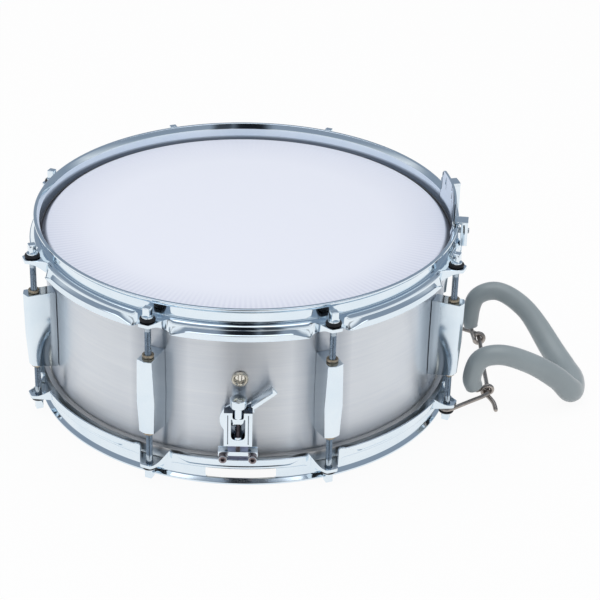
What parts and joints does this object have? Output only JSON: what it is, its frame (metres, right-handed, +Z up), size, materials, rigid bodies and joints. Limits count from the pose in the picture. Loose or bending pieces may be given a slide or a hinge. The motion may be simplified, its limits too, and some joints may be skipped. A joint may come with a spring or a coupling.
{
  "type": "marching snare drum",
  "caption": "Chrome and aluminium marching snare drum with a side-throw snare strainer, a folding rubber-sleeved leg rest and a sling bracket on its rim.",
  "frame": {"origin": "centre of the batter head's playing face", "axes": "+Z up along the drum's axis out of the batter head; the strainer faces -Y and the leg rest and sling bracket are on +X"},
  "size_m": [0.4976, 0.391, 0.186],
  "materials": {
    "chrome": "mirror chrome plate",
    "shell_aluminium": "fine brushed round the shell",
    "flesh_aluminium": "plain drawn section",
    "head_film": "smooth milky film, slightly translucent",
    "nickel": "rolled nickel-plated eyelet",
    "snare_steel": "drawn steel strand",
    "strap_ribbon": "woven nylon tape, satin",
    "wire_steel": "plated spring wire",
    "sleeve_rubber": "matte rubber tube"
  },
  "bodies": {
    "drum": {"shell": "shell_aluminium", "vent_grommet": "nickel", "batter_head": "head_film", "batter_flesh_hoop": "flesh_aluminium", "snare_head": "head_film", "snare_flesh_hoop": "flesh_aluminium", "top_hoop": "chrome", "bottom_hoop": "chrome", "lug_1": "chrome", "lug_2": "chrome", "lug_3": "chrome", "lug_4": "chrome", "lug_5": "chrome", "lug_6": "chrome", "lug_7": "chrome", "lug_8": "chrome", "strainer_base": "chrome", "lever_pin": "chrome", "snare_wires": "snare_steel", "snare_strap_front": "strap_ribbon", "snare_strap_rear": "strap_ribbon", "butt_plate": "chrome", "butt_jaw": "chrome", "butt_screw_left": "chrome", "butt_screw_right": "chrome", "leg_rest_bracket": "wire_steel", "sling_bracket": "chrome", "sling_screw_near": "chrome", "sling_screw_far": "chrome"},
    "rod_top_1": {"tension_rod_top_1": "chrome"},
    "rod_top_2": {"tension_rod_top_2": "chrome"},
    "rod_top_3": {"tension_rod_top_3": "chrome"},
    "rod_top_4": {"tension_rod_top_4": "chrome"},
    "rod_top_5": {"tension_rod_top_5": "chrome"},
    "rod_top_6": {"tension_rod_top_6": "chrome"},
    "rod_top_7": {"tension_rod_top_7": "chrome"},
    "rod_top_8": {"tension_rod_top_8": "chrome"},
    "rod_bottom_1": {"tension_rod_bottom_1": "chrome"},
    "rod_bottom_2": {"tension_rod_bottom_2": "chrome"},
    "rod_bottom_3": {"tension_rod_bottom_3": "chrome"},
    "rod_bottom_4": {"tension_rod_bottom_4": "chrome"},
    "rod_bottom_5": {"tension_rod_bottom_5": "chrome"},
    "rod_bottom_6": {"tension_rod_bottom_6": "chrome"},
    "rod_bottom_7": {"tension_rod_bottom_7": "chrome"},
    "rod_bottom_8": {"tension_rod_bottom_8": "chrome"},
    "lever": {"strainer_lever": "chrome"},
    "carriage": {"strainer_carriage": "chrome"},
    "knob": {"tension_knob": "chrome"},
    "clamp": {"snare_clamp": "chrome", "snare_clamp_jaw": "chrome", "clamp_screw_left": "chrome", "clamp_screw_right": "chrome"},
    "leg_rest": {"leg_rest_bow": "wire_steel", "leg_rest_sleeve": "sleeve_rubber"}
  },
  "joints": [
    {"name": "rod_top_1_turn", "type": "hinge", "parent": "drum", "child": "rod_top_1", "pos_m": [-0.18062, -0.07482, -0.03015], "axis": [0, 0, 1], "continuous": true},
    {"name": "rod_top_2_turn", "type": "hinge", "parent": "drum", "child": "rod_top_2", "pos_m": [-0.07482, -0.18062, -0.03015], "axis": [0, 0, 1], "continuous": true},
    {"name": "rod_top_3_turn", "type": "hinge", "parent": "drum", "child": "rod_top_3", "pos_m": [0.07482, -0.18062, -0.03015], "axis": [0, 0, 1], "continuous": true},
    {"name": "rod_top_4_turn", "type": "hinge", "parent": "drum", "child": "rod_top_4", "pos_m": [0.18062, -0.07482, -0.03015], "axis": [0, 0, 1], "continuous": true},
    {"name": "rod_top_5_turn", "type": "hinge", "parent": "drum", "child": "rod_top_5", "pos_m": [0.18062, 0.07482, -0.03015], "axis": [0, 0, 1], "continuous": true},
    {"name": "rod_top_6_turn", "type": "hinge", "parent": "drum", "child": "rod_top_6", "pos_m": [0.07482, 0.18062, -0.03015], "axis": [0, 0, 1], "continuous": true},
    {"name": "rod_top_7_turn", "type": "hinge", "parent": "drum", "child": "rod_top_7", "pos_m": [-0.07482, 0.18062, -0.03015], "axis": [0, 0, 1], "continuous": true},
    {"name": "rod_top_8_turn", "type": "hinge", "parent": "drum", "child": "rod_top_8", "pos_m": [-0.18062, 0.07482, -0.03015], "axis": [0, 0, 1], "continuous": true},
    {"name": "rod_bottom_1_turn", "type": "hinge", "parent": "drum", "child": "rod_bottom_1", "pos_m": [-0.18062, -0.07482, -0.11015], "axis": [0, 0, 1], "continuous": true},
    {"name": "rod_bottom_2_turn", "type": "hinge", "parent": "drum", "child": "rod_bottom_2", "pos_m": [-0.07482, -0.18062, -0.11015], "axis": [0, 0, 1], "continuous": true},
    {"name": "rod_bottom_3_turn", "type": "hinge", "parent": "drum", "child": "rod_bottom_3", "pos_m": [0.07482, -0.18062, -0.11015], "axis": [0, 0, 1], "continuous": true},
    {"name": "rod_bottom_4_turn", "type": "hinge", "parent": "drum", "child": "rod_bottom_4", "pos_m": [0.18062, -0.07482, -0.11015], "axis": [0, 0, 1], "continuous": true},
    {"name": "rod_bottom_5_turn", "type": "hinge", "parent": "drum", "child": "rod_bottom_5", "pos_m": [0.18062, 0.07482, -0.11015], "axis": [0, 0, 1], "continuous": true},
    {"name": "rod_bottom_6_turn", "type": "hinge", "parent": "drum", "child": "rod_bottom_6", "pos_m": [0.07482, 0.18062, -0.11015], "axis": [0, 0, 1], "continuous": true},
    {"name": "rod_bottom_7_turn", "type": "hinge", "parent": "drum", "child": "rod_bottom_7", "pos_m": [-0.07482, 0.18062, -0.11015], "axis": [0, 0, 1], "continuous": true},
    {"name": "rod_bottom_8_turn", "type": "hinge", "parent": "drum", "child": "rod_bottom_8", "pos_m": [-0.18062, 0.07482, -0.11015], "axis": [0, 0, 1], "continuous": true},
    {"name": "lever_throw", "type": "hinge", "parent": "drum", "child": "lever", "pos_m": [-0.0008, -0.182, -0.09315], "axis": [0, -1, 0], "range_deg": [-75, 0]},
    {"name": "carriage_lift", "type": "slide", "parent": "drum", "child": "carriage", "axis": [0, 0, 1], "range_m": [0, 0.006]},
    {"name": "knob_turn", "type": "hinge", "parent": "carriage", "child": "knob", "pos_m": [-0.0008, -0.1887, -0.08515], "axis": [0, 0, 1], "range_deg": [0, 1440]},
    {"name": "clamp_draw", "type": "slide", "parent": "carriage", "child": "clamp", "axis": [0, 0, 1], "range_m": [0, 0.0028]},
    {"name": "leg_rest_fold", "type": "hinge", "parent": "drum", "child": "leg_rest", "pos_m": [0.2193, 0, -0.14285], "axis": [0, -1, 0], "range_deg": [-95, 8]}
  ],
  "couplings": [
    {"joint": "carriage_lift", "follows": "lever_throw", "m_per_rad": -0.0045837},
    {"joint": "clamp_draw", "follows": "knob_turn", "m_per_rad": 0.00011141}
  ]
}
